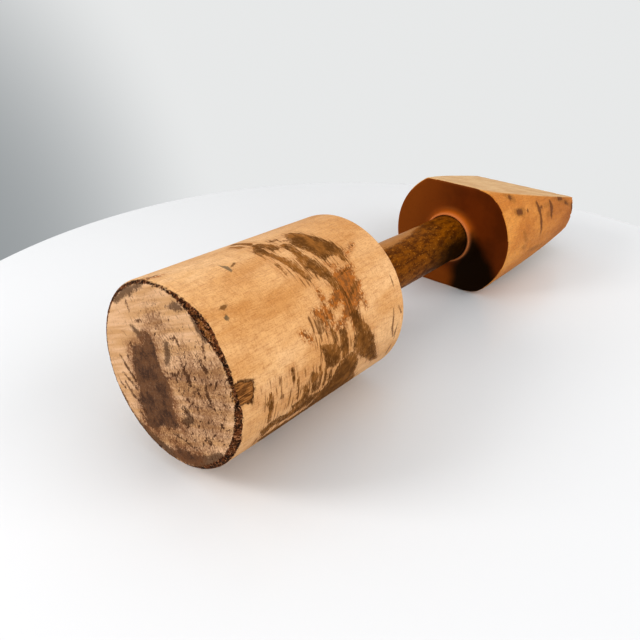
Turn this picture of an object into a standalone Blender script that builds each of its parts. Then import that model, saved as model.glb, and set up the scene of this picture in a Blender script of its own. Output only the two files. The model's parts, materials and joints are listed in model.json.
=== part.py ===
"""Double-ended wooden ramming mallet: a round butt head and a wedge-shaped peen head on one short grip.

Metres, +Z up. Stations are distances along the tool's long axis, from the butt's struck face at 0
to the peen's blunt edge. The tool lies on the inner rim of the butt and on the front edge of the
peen's lower flat, so its long axis dips towards the peen. The origin is the middle of the bounding
box at the surface that it lies on.
"""

import math

import bmesh
import bpy
from mathutils import Vector

# Clearance between wooden faces that touch in the real joint.
GAP = 0.0003

# Butt head: a plain cylinder with a worn struck rim.
BUTT_RADIUS = 0.041
BUTT_LENGTH = 0.110
STRUCK_RIM_ROUNDING = 0.0025
INNER_RIM_ROUNDING = 0.0015

# Grip between the two heads.
GRIP_LENGTH = 0.117
GRIP_RADIUS_AT_BUTT = 0.0148
GRIP_RADIUS_AT_PEEN = 0.0140
SHOULDER_CHAMFER = 0.0006

# Peen head: a cylinder sawn by two flats that run together towards its blunt edge.
PEEN_RADIUS = 0.0398
PEEN_LENGTH = 0.108
PEEN_RIM_ROUNDING = 0.0012
FLAT_HEIGHT_AT_FACE = 0.0340
FLAT_HEIGHT_AT_EDGE = 0.0114

# Collar turned on the peen's inner face, with a socket that houses the end of the grip.
COLLAR_HEIGHT = 0.0045
COLLAR_RADIUS = 0.0158
SOCKET_DEPTH = 0.0015

# Blind, fox-wedged round tenons. The tenon's end is spread by its wedge and fills the flared mortise.
TENON_RADIUS = 0.0110
TENON_SPREAD = 0.0006
BUTT_TENON_LENGTH = 0.050
PEEN_TENON_LENGTH = 0.044
MORTISE_CLEARANCE = 0.0020
KERF_LENGTH = 0.030
KERF_ROOT_WIDTH = 0.0016
KERF_MOUTH_WIDTH = 0.0046
WEDGE_LENGTH = 0.027
WEDGE_WIDTH = 0.021

# Facets round a turned piece, and points on one rounded edge or cove.
HEAD_FACETS = 96
HANDLE_FACETS = 64
ARC_POINTS = 5

# Stations along the axis that follow from the lengths above.
BUTT_INNER_FACE = BUTT_LENGTH
PEEN_FACE = BUTT_INNER_FACE + GRIP_LENGTH
PEEN_EDGE = PEEN_FACE + PEEN_LENGTH
BUTT_SHOULDER = BUTT_INNER_FACE + GAP
PEEN_SHOULDER = PEEN_FACE + SOCKET_DEPTH - GAP
BUTT_TENON_END = BUTT_SHOULDER - BUTT_TENON_LENGTH
PEEN_TENON_END = PEEN_SHOULDER + PEEN_TENON_LENGTH
BUTT_MORTISE_FLOOR = BUTT_TENON_END - MORTISE_CLEARANCE
PEEN_MORTISE_FLOOR = PEEN_TENON_END + MORTISE_CLEARANCE

FLAT_SLOPE = math.atan2(FLAT_HEIGHT_AT_FACE - FLAT_HEIGHT_AT_EDGE, PEEN_LENGTH)

# A turned piece is drawn about Z and then laid along the tool's axis, which is X.
LAID_ALONG_AXIS = (0.0, math.pi / 2, 0.0)

# Colours, roughness and metallic value of each wood surface.
FINISHES = {
    "butt_head": ((0.72, 0.46, 0.22), 0.55),
    "handle": ((0.20, 0.10, 0.03), 0.35),
    "peen_head": ((0.66, 0.38, 0.16), 0.50),
    "butt_wedge": ((0.50, 0.32, 0.17), 0.70),
    "peen_wedge": ((0.50, 0.32, 0.17), 0.70),
}


def clear_scene():
    """Remove every object, so that the model starts from nothing."""
    for thing in list(bpy.data.objects):
        bpy.data.objects.remove(thing, do_unlink=True)


def new_collection(name):
    """A collection of this name, linked to the scene."""
    collection = bpy.data.collections.new(name)
    bpy.context.scene.collection.children.link(collection)
    return collection


def wood_material(name):
    """The Principled material of one piece."""
    colour, roughness = FINISHES[name]
    material = bpy.data.materials.new(name)
    material.use_nodes = True
    shader = material.node_tree.nodes["Principled BSDF"]
    shader.inputs["Base Color"].default_value = (*colour, 1.0)
    shader.inputs["Roughness"].default_value = roughness
    shader.inputs["Metallic"].default_value = 0.0
    return material


def arc(centre, radius, start_degrees, end_degrees):
    """Points on an arc in the profile plane, both ends included."""
    points = []
    for step in range(ARC_POINTS):
        share = step / (ARC_POINTS - 1)
        angle = math.radians(start_degrees + share * (end_degrees - start_degrees))
        points.append((centre[0] + radius * math.cos(angle), centre[1] + radius * math.sin(angle)))
    return points


def turned(name, profile, facets, station, collection, pose):
    """Turn a profile of (radius, height) points about Z and lay it along the tool's axis."""
    mesh = bpy.data.meshes.new(name)
    corners = [(radius, 0.0, height) for radius, height in profile]
    edges = [(index, index + 1) for index in range(len(profile) - 1)]
    mesh.from_pydata(corners, edges, [])
    piece = bpy.data.objects.new(name, mesh)
    collection.objects.link(piece)
    screw = piece.modifiers.new("turning", "SCREW")
    screw.axis = "Z"
    screw.steps = facets
    screw.render_steps = facets
    screw.use_merge_vertices = True
    screw.merge_threshold = 0.00001
    screw.use_smooth_shade = True
    piece.parent = pose
    piece.location = (station, 0.0, 0.0)
    piece.rotation_euler = LAID_ALONG_AXIS
    return piece


def apply_modifiers(piece):
    """Replace the mesh by its evaluated one, shaded smooth except at its crisp edges."""
    evaluated = piece.evaluated_get(bpy.context.evaluated_depsgraph_get())
    mesh = bpy.data.meshes.new_from_object(evaluated)
    mesh.name = piece.name
    mesh.shade_smooth()
    mesh.set_sharp_from_angle(angle=math.radians(30))
    piece.modifiers.clear()
    piece.data = mesh
    mesh.materials.append(wood_material(piece.name))


def cut(piece, cutter):
    """Take the cutter's volume out of the piece."""
    boolean = piece.modifiers.new(cutter.name, "BOOLEAN")
    boolean.operation = "DIFFERENCE"
    boolean.solver = "EXACT"
    boolean.object = cutter


def tapered_block(name, length, width, start_thickness, end_thickness, collection, pose):
    """A block along X from 0 to length, thick in Y, whose thickness tapers from start to end."""
    mesh = bpy.data.meshes.new(name)
    block = bmesh.new()
    bmesh.ops.create_cube(block, size=1.0)
    for corner in block.verts:
        share = corner.co.x + 0.5
        thickness = start_thickness + share * (end_thickness - start_thickness)
        corner.co = Vector((share * length, corner.co.y * thickness, corner.co.z * width))
    if length < 0:
        bmesh.ops.reverse_faces(block, faces=block.faces[:])
    block.to_mesh(mesh)
    block.free()
    piece = bpy.data.objects.new(name, mesh)
    collection.objects.link(piece)
    piece.parent = pose
    return piece


def as_cutter(cutter):
    """Show a cutter as a wire only."""
    cutter.hide_render = True
    cutter.display_type = "WIRE"
    return cutter


def butt_profile():
    """Outline of the butt head, from the mortise floor round to the struck face."""
    floor_radius = TENON_RADIUS + TENON_SPREAD + GAP
    mouth_radius = TENON_RADIUS + GAP
    inner = INNER_RIM_ROUNDING
    struck = STRUCK_RIM_ROUNDING
    outline = [(0.0, BUTT_MORTISE_FLOOR), (floor_radius, BUTT_MORTISE_FLOOR), (mouth_radius, BUTT_LENGTH)]
    outline += arc((BUTT_RADIUS - inner, BUTT_LENGTH - inner), inner, 90, 0)
    outline += arc((BUTT_RADIUS - struck, struck), struck, 0, -90)
    outline.append((0.0, 0.0))
    return outline


def peen_profile():
    """Outline of the peen head before its flats are sawn, heights measured from its inner face."""
    rim = PEEN_RIM_ROUNDING
    lip_radius = GRIP_RADIUS_AT_PEEN + GAP
    mouth_radius = TENON_RADIUS + GAP
    floor_radius = TENON_RADIUS + TENON_SPREAD + GAP
    floor = PEEN_MORTISE_FLOOR - PEEN_FACE
    outline = [(0.0, PEEN_LENGTH)]
    outline += arc((PEEN_RADIUS - rim, PEEN_LENGTH - rim), rim, 90, 0)
    outline += arc((PEEN_RADIUS - rim, rim), rim, 0, -90)
    outline += arc((COLLAR_RADIUS + COLLAR_HEIGHT, -COLLAR_HEIGHT), COLLAR_HEIGHT, 90, 180)
    outline += [(lip_radius, -COLLAR_HEIGHT), (lip_radius, SOCKET_DEPTH), (mouth_radius, SOCKET_DEPTH)]
    outline += [(floor_radius, floor), (0.0, floor)]
    return outline


def handle_profile():
    """Outline of the handle with both tenons, heights measured from the butt's struck face."""
    spread = TENON_RADIUS + TENON_SPREAD
    chamfer = SHOULDER_CHAMFER
    return [
        (0.0, PEEN_TENON_END),
        (spread, PEEN_TENON_END),
        (TENON_RADIUS, PEEN_SHOULDER),
        (GRIP_RADIUS_AT_PEEN - chamfer, PEEN_SHOULDER),
        (GRIP_RADIUS_AT_PEEN, PEEN_SHOULDER - chamfer),
        (GRIP_RADIUS_AT_BUTT, BUTT_SHOULDER + chamfer),
        (GRIP_RADIUS_AT_BUTT - chamfer, BUTT_SHOULDER),
        (TENON_RADIUS, BUTT_SHOULDER),
        (spread, BUTT_TENON_END),
        (0.0, BUTT_TENON_END),
    ]


def flat_cutter(side, cutters, pose):
    """The block that saws one flat: side is +1 for the upper flat and -1 for the lower."""
    block_height = 0.040
    block_overhang = 0.020
    mesh = bpy.data.meshes.new("flat_cutter")
    block = bmesh.new()
    bmesh.ops.create_cube(block, size=1.0)
    scale = Vector((PEEN_LENGTH + 2 * block_overhang, 2.5 * PEEN_RADIUS, block_height))
    bmesh.ops.scale(block, vec=scale, verts=block.verts)
    block.to_mesh(mesh)
    block.free()
    cutter = bpy.data.objects.new("flat_cutter_upper" if side > 0 else "flat_cutter_lower", mesh)
    cutters.objects.link(cutter)
    middle = Vector(((PEEN_FACE + PEEN_EDGE) / 2, 0.0, (FLAT_HEIGHT_AT_FACE + FLAT_HEIGHT_AT_EDGE) / 2))
    outward = Vector((math.sin(FLAT_SLOPE), 0.0, math.cos(FLAT_SLOPE)))
    place = middle + outward * (block_height / 2)
    cutter.parent = pose
    cutter.location = (place.x, 0.0, side * place.z)
    cutter.rotation_euler = (0.0, side * FLAT_SLOPE, 0.0)
    return as_cutter(cutter)


def kerf_cutter(name, tenon_end, direction, cutters, pose):
    """The tapered saw kerf that runs into a tenon from its end; direction is +1 or -1 along the axis."""
    reach = 0.001
    slope = (KERF_MOUTH_WIDTH - KERF_ROOT_WIDTH) / KERF_LENGTH
    mouth = KERF_MOUTH_WIDTH + slope * reach
    cutter = tapered_block(name, direction * (KERF_LENGTH + reach), 3 * TENON_RADIUS,
                           mouth, KERF_ROOT_WIDTH, cutters, pose)
    cutter.location = (tenon_end - direction * reach, 0.0, 0.0)
    return as_cutter(cutter)


def fox_wedge(name, mortise_floor, direction, collection, pose):
    """A wedge that stands on the mortise floor and points into the tenon's kerf."""
    slope = (KERF_MOUTH_WIDTH - KERF_ROOT_WIDTH) / KERF_LENGTH
    head = KERF_MOUTH_WIDTH + slope * (MORTISE_CLEARANCE - GAP) - 2 * GAP
    tip = head - slope * WEDGE_LENGTH
    wedge = tapered_block(name, direction * WEDGE_LENGTH, WEDGE_WIDTH, head, tip, collection, pose)
    wedge.location = (mortise_floor + direction * GAP, 0.0, 0.0)
    wedge.data.materials.append(wood_material(name))
    return wedge


def resting_pose(collection):
    """The empty that lays the tool down: stations run along its X, and its tilt is the tool's dip."""
    # The surface is tangent to the butt's inner rim and passes through the peen's lower front edge.
    rim = Vector((BUTT_LENGTH - INNER_RIM_ROUNDING, -(BUTT_RADIUS - INNER_RIM_ROUNDING)))
    edge = Vector((PEEN_FACE, -FLAT_HEIGHT_AT_FACE))
    span = edge - rim
    tilt = math.atan2(span.y, span.x) + math.asin(INNER_RIM_ROUNDING / span.length)
    # The lowest point is that front edge. The ends are the struck rim and the peen's upper edge.
    lowest = edge.y * math.cos(tilt) - edge.x * math.sin(tilt)
    struck = Vector((STRUCK_RIM_ROUNDING, -(BUTT_RADIUS - STRUCK_RIM_ROUNDING)))
    near_end = struck.x * math.cos(tilt) + struck.y * math.sin(tilt) - STRUCK_RIM_ROUNDING
    far_end = PEEN_EDGE * math.cos(tilt) + FLAT_HEIGHT_AT_EDGE * math.sin(tilt)
    pose = bpy.data.objects.new("resting_pose", None)
    collection.objects.link(pose)
    pose.location = (-(near_end + far_end) / 2, 0.0, -lowest)
    pose.rotation_euler = (0.0, tilt, 0.0)
    return pose


def build():
    """Make the five pieces."""
    clear_scene()
    parts = new_collection("wooden_mallet")
    cutters = new_collection("cutters")
    pose = resting_pose(parts)

    butt = turned("butt_head", butt_profile(), HEAD_FACETS, 0.0, parts, pose)
    handle = turned("handle", handle_profile(), HANDLE_FACETS, 0.0, parts, pose)
    peen = turned("peen_head", peen_profile(), HEAD_FACETS, PEEN_FACE, parts, pose)

    for side in (1, -1):
        cut(peen, flat_cutter(side, cutters, pose))
    cut(handle, kerf_cutter("butt_kerf_cutter", BUTT_TENON_END, 1, cutters, pose))
    cut(handle, kerf_cutter("peen_kerf_cutter", PEEN_TENON_END, -1, cutters, pose))

    fox_wedge("butt_wedge", BUTT_MORTISE_FLOOR, 1, parts, pose)
    fox_wedge("peen_wedge", PEEN_MORTISE_FLOOR, -1, parts, pose)

    bpy.context.view_layer.update()
    for piece in (butt, handle, peen):
        apply_modifiers(piece)


build()
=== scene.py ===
"""Looks of the wooden ramming mallet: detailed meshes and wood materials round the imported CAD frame.

Places on the tool are given in millimetres as (station, side, up): the station runs along the tool's
axis from the butt's struck face, side points to the -Y side, and up is square to both. Marks on a
turned surface are given as (station, angle), the angle in degrees round the axis from the top towards
the -Y side. Marks on an end face are given as (side, up).
"""

import json
import math

import bmesh
import bpy
import numpy as np
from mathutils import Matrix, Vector, noise


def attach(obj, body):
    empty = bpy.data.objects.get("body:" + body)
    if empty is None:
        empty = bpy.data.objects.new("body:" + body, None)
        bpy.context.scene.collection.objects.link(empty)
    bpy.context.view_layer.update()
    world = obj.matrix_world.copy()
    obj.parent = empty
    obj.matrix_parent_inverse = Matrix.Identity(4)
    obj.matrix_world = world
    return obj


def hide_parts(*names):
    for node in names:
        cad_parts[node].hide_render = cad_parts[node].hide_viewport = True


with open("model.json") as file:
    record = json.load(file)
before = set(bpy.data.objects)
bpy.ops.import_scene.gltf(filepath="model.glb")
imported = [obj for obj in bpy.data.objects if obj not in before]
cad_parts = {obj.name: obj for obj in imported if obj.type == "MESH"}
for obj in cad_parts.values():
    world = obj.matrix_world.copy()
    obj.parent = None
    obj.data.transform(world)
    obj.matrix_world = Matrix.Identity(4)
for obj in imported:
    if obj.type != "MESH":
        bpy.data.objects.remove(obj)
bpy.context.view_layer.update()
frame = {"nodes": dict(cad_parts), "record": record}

# A millimetre in metres. The lengths that follow are in millimetres.
MM = 0.001
# A depth that is outside every mark, and how far the depths count either way.
FAR = 1000.0
DEEPEST = 8.0
# Clearance between mating faces, as in the CAD model.
GAP = 0.3
SHARP_ANGLE = math.radians(50)


# --- The tool's own coordinates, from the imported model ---

def mount(name):
    """Place and outward axis of one of the record's mounts."""
    found = next(item for item in frame["record"]["mounts"] if item["name"] == name)
    return Vector(found["pos_m"]), Vector(found["axis"]).normalized()


STRUCK_FACE, away_from_tool = mount("butt_face")
AXIS = -away_from_tool
SIDE = Vector((0.0, -1.0, 0.0))
UP = SIDE.cross(AXIS)
BASIS = np.array([AXIS, SIDE, UP])


def to_row(places):
    """Row-frame metres of tool places."""
    return np.array(STRUCK_FACE) + MM * (places @ BASIS)


def to_tool(points):
    """Tool places of row-frame metres."""
    return (points - np.array(STRUCK_FACE)) @ BASIS.T / MM


def corners_of(mesh):
    """A mesh's corners as an array."""
    points = np.empty(3 * len(mesh.vertices))
    mesh.vertices.foreach_get("co", points)
    return points.reshape(-1, 3)


def stations_of(node):
    """First and last station of a CAD node."""
    stations = to_tool(corners_of(frame["nodes"][node].data))[:, 0]
    return float(stations.min()), float(stations.max())


def radius_of(node):
    """Largest reach of a CAD node towards the -Y side."""
    return float(to_tool(corners_of(frame["nodes"][node].data))[:, 1].max())


BUTT_RADIUS = radius_of("butt_head")
PEEN_RADIUS = radius_of("peen_head")
GRIP_RADIUS_AT_BUTT = radius_of("handle")
BUTT_END = stations_of("butt_head")[1]
COLLAR_LIP, PEEN_END = stations_of("peen_head")
TENON_ENDS = stations_of("handle")

# Turned details, the same as in the CAD model.
COLLAR_HEIGHT = 4.5
COLLAR_RADIUS = 15.8
SOCKET_DEPTH = 1.5
GRIP_RADIUS_AT_PEEN = 14.0
TENON_RADIUS = 11.0
TENON_SPREAD = 0.6
MORTISE_CLEARANCE = 2.0
SHOULDER_CHAMFER = 0.6
STRUCK_RIM_ROUNDING = 2.5
INNER_RIM_ROUNDING = 1.5
PEEN_RIM_ROUNDING = 1.2
FLAT_HEIGHT_AT_FACE = 34.0
FLAT_HEIGHT_AT_EDGE = 11.4
KERF_LENGTH = 30.0
KERF_ROOT_WIDTH = 1.6
KERF_MOUTH_WIDTH = 4.6

PEEN_FACE = COLLAR_LIP + COLLAR_HEIGHT
PEEN_LENGTH = PEEN_END - PEEN_FACE
BUTT_SHOULDER = BUTT_END + GAP
PEEN_SHOULDER = PEEN_FACE + SOCKET_DEPTH - GAP


# --- Marks: strokes, patches and how deep a point lies in them ---

def stroke_depth(points, path):
    """Half-width less distance, the best along a stroke of (x, y, half-width) points."""
    best = np.full(len(points), -FAR)
    for first, second in zip(path, path[1:] if len(path) > 1 else path):
        along = np.array(second[:2]) - np.array(first[:2])
        offset = points - np.array(first[:2])
        share = np.clip(offset @ along / max(along @ along, 1e-9), 0, 1)
        distance = np.linalg.norm(offset - share[:, None] * along, axis=1)
        best = np.maximum(best, first[2] + (second[2] - first[2]) * share - distance)
    return best


def patch_depth(points, outline):
    """Distance to a closed outline, positive inside it."""
    edge = [(x, y, 0.0) for x, y in outline]
    distance = -stroke_depth(points, edge + edge[:1])
    inside = np.zeros(len(points), bool)
    for (x0, y0), (x1, y1) in zip(outline, outline[1:] + outline[:1]):
        spans = (y0 > points[:, 1]) != (y1 > points[:, 1])
        crossing = x0 + (points[:, 1] - y0) * (x1 - x0) / ((y1 - y0) or 1e-9)
        inside ^= spans & (points[:, 0] < crossing)
    return np.where(inside, distance, -distance)


def depth(points, strokes=(), patches=()):
    """The deepest that each point lies in any of these strokes and patches."""
    best = np.full(len(points), -FAR)
    for path in strokes:
        best = np.maximum(best, stroke_depth(points, path))
    for outline in patches:
        best = np.maximum(best, patch_depth(points, outline))
    return np.clip(best, -DEEPEST, DEEPEST)


def unrolled(marks, radius):
    """Marks given as (station, angle, ...) with the angle turned into millimetres of arc."""
    return [[(item[0], math.radians(item[1]) * radius, *item[2:]) for item in mark] for mark in marks]


def line(x0, y0, x1, y1, width):
    """A stroke of one straight piece."""
    return [(x0, y0, width / 2), (x1, y1, width / 2)]


# Dark umber paint on the butt's side. The marks below -50 and above 135 degrees, which the photo
# doesn't show, are guessed in the same manner.
STAIN_STROKES = [
    [(51, -20, 1.2), (53, -8, 1.8)], [(46, -14, 0.8), (47, -8, 1.3)], line(48.3, 20, 48.7, 29, 1.2),
    line(61, -1, 64, 0, 1.2), [(64, 3, 0.2), (68, 5, 0.6)], [(56.5, 70, 0.9), (57.5, 77, 1.3)],
    [(42, 90, 1.2), (44, 101, 1.8)], [(46.5, 87, 0.4), (47.4, 95, 1.2), (47, 104, 0.5)],
    [(50.2, 91, 0.3), (51.2, 98, 1.0), (50.6, 106, 0.4)], [(54, 95, 0.5), (54.6, 103, 1.3)],
    [(17, 86, 0.7), (17.2, 92, 1.2), (17.4, 105, 0.9)], line(15.5, 91, 17, 92.5, 1.6), [(23.5, 92, 1.0)],
    line(30, 79, 30, 86, 1.2), line(33, 87, 33.2, 100, 1.2),
    [(69.5, 49, 0.9), (71.5, 56, 0.6), (72, 66, 1.2)], [(74, 57, 0.2), (78, 53, 0.6), (81, 51, 0.2)],
    [(74, 43, 0.2), (81, 41, 0.5)], [(70, 12, 1.4), (71, 24, 1.4)], line(58, -70, 58.4, -58, 1.2),
    line(60.5, -74, 61, -60, 1.6), line(55, -96, 55.5, -84, 1.1), line(88, -104, 88.5, -92, 1.0),
    [(40, 150, 1.2), (44, 163, 2.2), (52, 174, 1.4)], line(60, 160, 61, 174, 1.6),
    [(22, -150, 1.0), (30, -142, 2.0), (36, -138, 0.8)],
]
# Where that paint only fills the tool lines.
VEIL_PATCHES = [
    [(62, 1), (69, 2), (68, 30), (71, 36), (68, 36), (64, 14)],
    [(71, 28), (80, 29), (79, 36), (74, 34), (72, 37)],
    [(5, 82), (20, 80), (30, 84), (46, 86), (58, 100), (58, 125), (12, 125), (16, 108), (14, 88)],
    [(47, 9), (51, 10), (53, 30), (58, 42), (53, 38), (48, 20)],
    [(47, 60), (58, 60), (60, 80), (66, 92), (72, 96), (60, 98), (48, 84), (46, 76)],
    [(50, -70), (58, -60), (76, -66), (82, -96), (80, -124), (66, -118), (54, -108)],
]
STAIN_PATCHES = [
    [(50, -1), (52, -4.5), (55, -4.5), (57, -0.5), (59, 3), (59.7, 8), (57.5, 10), (55, 8.5),
     (54.3, 3.5), (52.8, 2.5), (52, 8), (54, 17), (56, 18), (56.3, 25), (57, 31), (58.5, 37), (57, 39),
     (55, 35), (53, 29), (51.5, 20), (50, 13), (48, 9), (47, 5), (48, 2)],
    [(60.3, 9), (62, 6), (64.5, 7), (65.3, 13), (65, 20), (66.5, 25), (67.5, 31), (69, 35), (69.3, 42),
     (70.5, 50), (67, 50), (65.3, 42), (62, 37), (60, 30), (59, 24), (60.5, 20), (61, 14)],
    [(69.5, 0), (72, -3), (75, -3), (77, 1), (79.5, 7), (81, 12), (83, 17), (84.5, 22), (85.8, 29),
     (84, 31), (83.5, 36), (81.5, 37.5), (80.3, 31), (77, 29), (74, 29.5), (72, 31), (70.5, 27), (69, 22),
     (67.5, 17), (66, 12), (66.5, 8), (68, 4)],
    [(69.5, 66), (75, 66), (76, 73), (80, 79), (84.5, 88.5), (86, 95), (89.5, 104), (95, 115),
     (92, 114), (87, 111), (80, 103), (73, 95), (69.7, 90), (69.5, 84), (71.5, 80)],
    [(60, 93), (64, 91.5), (70, 91), (72, 95), (74.5, 101), (76, 108), (76, 113), (81, 122), (84, 130),
     (44, 130), (46, 118), (50, 109), (56, 103), (58, 97)],
    [(61, 72), (65, 73), (66, 82), (66, 90), (62, 92), (60.5, 84)],
    [(47.5, 75), (53, 77), (57, 79), (60, 83), (60, 92), (57, 94), (54, 92), (51, 92), (50, 86), (48.5, 80)],
    [(35.5, 93), (38, 95), (41, 101), (41.5, 106), (38, 108), (31, 107), (31, 104.5), (36, 104), (37, 99)],
    [(41, 88), (45, 91), (46, 98), (46, 105), (43, 104), (41.5, 97)],
    [(14, 110), (20, 107), (30, 109), (42, 106), (50, 108), (46, 116), (30, 116), (22, 113), (17, 118)],
    [(16, 122), (24, 119), (40, 121), (50, 120), (50, 130), (20, 130)],
    [(60, -70), (63, -84), (67, -96), (72, -108), (77, -116), (80, -112), (77, -100), (74, -86), (72, -74),
     (68, -66), (64, -64)],
    [(52, -78), (55, -84), (57, -98), (55, -104), (52, -96), (51, -86)],
]
# Rust-coloured smears under the umber.
RUST_STROKES = [
    [(0.5, -15, 0.6), (4, -10, 0.4), (7, -9, 0.1)], [(59.5, 71, 0.9), (62, 68.5, 1.1), (64.5, 71, 1.0)],
    [(75, 63, 1.2), (81, 59, 0.9)], line(80.5, 61, 81.5, 68, 1.0),
    [(50, 56, 1.0), (52.5, 58, 1.9), (54, 62, 1.2), (54.5, 70, 0.5)],
    [(56.5, 56, 1.2), (57.5, 62, 1.6), (58, 67, 0.6)], line(57.5, 46, 57.7, 54, 0.9),
    [(39.5, 63, 0.8), (41.5, 66, 1.4), (43.5, 69, 0.8)], line(85, 33, 94, 28, 0.6),
    line(71, 34, 75, 37.5, 0.7), [(74, 52, -0.3), (82, 47, -0.6)],
]
RUST_PATCHES = [
    [(70, 40), (76, 39.5), (84, 40.5), (82, 44), (80.5, 52), (76, 53), (71, 52), (70, 46)],
    [(59.5, 56), (63, 52.5), (67, 49), (72, 50.5), (79, 50.5), (83.5, 51.5), (81.5, 55), (80, 59), (77, 60),
     (75, 62), (74.5, 68), (75, 76), (70.5, 76), (69.5, 69), (66.5, 68), (64, 69.5), (65, 66), (68, 61),
     (67.5, 57.5), (62, 59)],
]
# Thin dark scratches on the butt's side.
SCRATCH_STROKES = [
    *[line(station, first, station + 0.3, last, width) for station, first, last, width in (
        (46.0, 57, 66, 1.0), (48.3, 60, 68, 1.1), (49.7, 61, 69, 0.9), (51.0, 60, 68, 1.0),
        (52.4, 61, 70, 0.9), (55.6, 62, 71, 1.0))],
    [(10, 32.4, 0.2), (12, 32, 1.0), (14.6, 31.4, 0.2)],
    [(9.6, 38.5, 0.3), (11, 36.5, 0.4)],
    [(104, 56, 0.1), (104, 62, 0.5), (104.3, 67, 0.1)],
    [(101, 78, 0.3), (100, 92, 0.8), (102, 100, 0.4)],
    [(105, 78, 0.3), (107, 84, 0.6)],
    [(104.5, 90, 0.2), (103.4, 97, 0.7), (104, 103, 0.2)],
    [(103.8, 108, 0.3), (103.5, 114, 0.7), (104.6, 121, 0.2)],
    line(31, 9, 34, 7, 1.0),
    line(0, -11, 6, -12, 1.0),
    [(3, 69.5, 0.4), (6, 71, 0.7), (10, 72.8, 0.5)],
]
# Grey spots beside the scratches.
GREY_PATCHES = [[(27.5, 2), (28.5, 5), (30, 8), (29.5, 12), (28, 13.5), (27.7, 8)],
                [(9.8, 36.6), (11.2, 36.4), (11.6, 38.4), (10.6, 40), (9.4, 39)]]
# Where a chip is torn out of the struck rim.
CHIP_PATCHES = [[(-1, 69.5), (4.5, 70), (6.5, 71.8), (10.2, 73), (9.8, 78), (8.6, 82), (7, 84.5),
                 (4, 83), (-1, 82.5)]]

# Width of the frayed band at the struck rim: (angle, on the side, on the face).
RIM_WEAR = [
    (-170, 1.5, 2.1), (-130, 1.5, 2.1), (-90, 1.5, 2.1), (-60, 1.5, 2.2), (-30, 1.2, 1.9), (-8, 0.9, 1.4),
    (8, 0.9, 1.4), (20, 1.7, 1.9), (31, 2.2, 2.4), (37, 2.3, 3.5), (42, 2.0, 3.6), (48, 1.6, 2.3),
    (57, 1.3, 1.7), (72, 1.4, 1.6), (86, 2.4, 1.9), (98, 2.1, 1.9), (106, 2.8, 2.3), (114, 2.2, 2.6),
    (126, 2.0, 2.8), (140, 1.6, 2.8), (160, 1.2, 1.6), (176, 1.0, 1.2),
]

# Paint and dirt on the struck face, as (side, up), with a half-width for strokes.
SMEAR_PATCHES = [
    [(-9.5, 18), (-7, 16), (-5, 12.7), (-4, 10), (-3.3, 5), (-2, 2), (1.5, 1), (2, -3), (1.5, -7), (3, -9),
     (2.6, -13), (5, -16), (4.5, -18), (7, -20), (4, -23), (0, -24), (-4, -25.5), (-6, -27),
     (-9, -30), (-13.6, -31), (-17.3, -29.5), (-15, -27), (-18, -23.6), (-20, -19), (-18.5, -14),
     (-20.4, -8), (-22, -2), (-20.4, 3), (-21, 6.4), (-18, 8.5), (-14, 9.5), (-12, 11.5), (-11.4, 16)],
    [(2.5, -31), (6, -32.5), (9, -30.5), (14, -31), (18, -29), (16, -33), (10, -36), (3, -35)],
]
FACE_MARK_STROKES = [
    [(-22, 28, 0.2), (-21, 25.5, 0.6), (-20, 22.5, 0.1)], [(23.6, 15.2, 1.3), (25, 14, 1.2)],
    line(19, 16, 22, 17.7, 1.0), [(24.2, 19.5, 0.6)], [(24.0, 22.5, 0.6), (23.6, 25, 0.5)],
    [(10.3, 13.5, 0.5), (11, 10, 0.6), (13, 8, 1.3), (14.5, 6, 1.5), (15.4, 4.4, 0.8)],
    [(24, 7.7, 0.7), (24.3, 6, 0.8)], [(24.4, 5, 0.9), (25.3, 3, 1.0), (26.4, 1.2, 0.7)],
    line(25, -0.6, 29, -1.2, 1.2), [(34.5, 3.8, 0.8)], [(34.2, -3.2, 0.7)], [(32.5, -6.5, 1.0)],
    [(13.6, -4, 1.0)], [(24.4, -15.5, 0.5), (24.8, -19, 1.0)], line(17, 1, 20.5, 4.5, 0.9),
    line(18, 4.5, 21.5, 0.5, 0.9), [(0, 3, 0.4), (7, 4.5, 0.7), (10, 8, 0.4)],
    [(-17, 19.5, 0.2), (-14.5, 20.6, 0.7), (-12, 21.5, 0.1)],
    [(5, 20, 0.4), (8, 21.5, 0.7), (10.5, 18, 0.5)], [(-22, 7.5, 0.7)], [(-24.5, 0, 0.8)],
    [(-30, -2, 0.5), (-27, -5, 0.8), (-21, -10, 0.8)],
    [(-29.5, -10, 0.4), (-24, -12.5, 0.8), (-20, -14.5, 0.7)], line(-32, -16, -29, -18, 1.0),
    [(-29, -14, 0.4), (-24, -19, 0.8), (-19, -20.5, 0.7)], line(-20, -20, -16, -24, 1.1),
    line(-20, -26, -16, -28, 1.1), [(-2, -25.5, 0.4), (8, -26, 0.7), (17, -26.6, 0.3)],
    line(9, -10, 17, -12, 0.8), line(9, -17, 13, -17, 0.8),
]
GREY_SMEAR_STROKES = [
    [(-30, 24, 0.6), (-26, 27.5, 1.6), (-22, 31, 2.0), (-16, 34.5, 1.6), (-10, 38, 0.8)],
    [(4, 33, 0.2), (9, 35.2, 1.6), (14, 36, 0.3)],
    [(2.4, 17, 1.8), (2.8, 12.5, 2.4), (1.5, 8, 1.6)],
    [(-19, 16, 1.4), (-14, 14, 2.4), (-12, 17, 1.2)],
    [(11, -9, 1.6), (14, -13, 2.2), (10, -16, 1.2)],
    [(18, 34, 1.0), (22, 30, 1.6), (25, 27, 1.0)],
    [(-33, -22, 1.0), (-24, -31, 1.4), (-12, -36, 2.2), (0, -37, 2.4), (12, -35, 2.8), (24, -29, 3.0),
     (32, -21, 1.6)],
]
# Where the struck face is dirtiest: (side, up, reach).
DIRT_SPOTS = [(16, 6, 18), (24, -8, 17), (14, -30, 17), (-8, -36, 12), (-4, 24, 8), (30, 12, 10)]

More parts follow.
